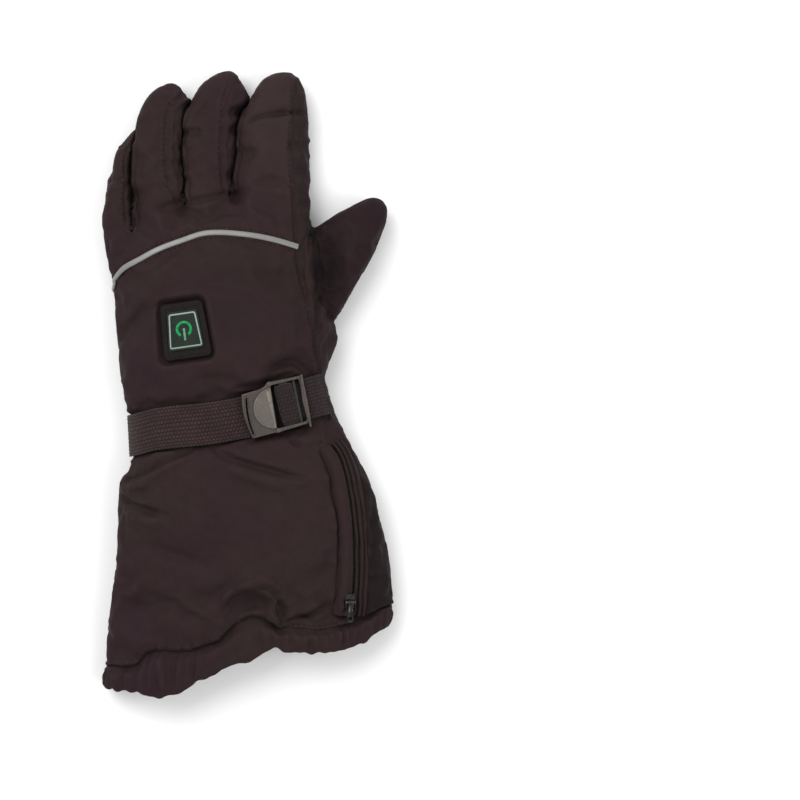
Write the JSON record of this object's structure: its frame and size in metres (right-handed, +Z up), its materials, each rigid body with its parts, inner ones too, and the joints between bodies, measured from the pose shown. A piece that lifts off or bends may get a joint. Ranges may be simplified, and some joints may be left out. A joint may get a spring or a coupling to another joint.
{
  "type": "heated winter motorcycle glove, left hand",
  "caption": "Long-cuffed padded winter motorcycle glove for the left hand, lying palm down, with a heating switch, wrist strap with buckle, zipped gauntlet and gathered hem.",
  "frame": {"origin": "under the middle of the glove's box, on the surface it lies on", "axes": "+X towards the thumb side, +Y towards the fingertips, +Z up, out of the back of the hand"},
  "size_m": [0.1695, 0.3628, 0.0453],
  "materials": {
    "shell_cloth": "woven nylon shell",
    "side_cloth": "woven nylon side strips",
    "webbing": "coarse ribbed webbing",
    "reflective_cord": "retroreflective piping",
    "switch_rubber": "soft satin rubber",
    "switch_ink": "printed line",
    "power_light": "lit green",
    "buckle_plastic": "worn satin",
    "zip_tape": "fine herringbone tape",
    "zip_coil": "nylon coil",
    "zip_metal": "dark, worn at the edges"
  },
  "bodies": {
    "glove": {"palm_panel": "shell_cloth", "knuckle_panel": "shell_cloth", "back_panel": "shell_cloth", "thumb_back": "shell_cloth", "thumb_palm": "shell_cloth", "gauntlet_palm": "shell_cloth", "gauntlet_back": "shell_cloth", "gauntlet_gusset": "shell_cloth", "hem_band": "shell_cloth", "zip_welt_hand": "shell_cloth", "zip_welt_thumb": "shell_cloth", "side_panel": "side_cloth", "fourchette_index_middle": "side_cloth", "fourchette_middle_ring": "side_cloth", "fourchette_ring_little": "side_cloth", "wrist_strap": "webbing", "buckle_anchor": "webbing", "reflective_piping": "reflective_cord", "switch_pad": "switch_rubber", "switch_key": "switch_rubber", "switch_frame": "switch_ink", "power_ring": "power_light", "power_bar": "power_light", "buckle_frame": "buckle_plastic", "zip_tape_hand": "zip_tape", "zip_tape_thumb": "zip_tape", "zip_coil": "zip_coil", "zip_slider": "zip_metal"},
    "zip_pull": {"zip_pull": "zip_metal"}
  },
  "joints": [
    {"name": "zip_pull_hinge", "type": "hinge", "parent": "glove", "child": "zip_pull", "pos_m": [0.06011, -0.12609, 0.03593], "axis": [-0.9776, -0.0133, 0.2101], "range_deg": [0, 140]}
  ]
}
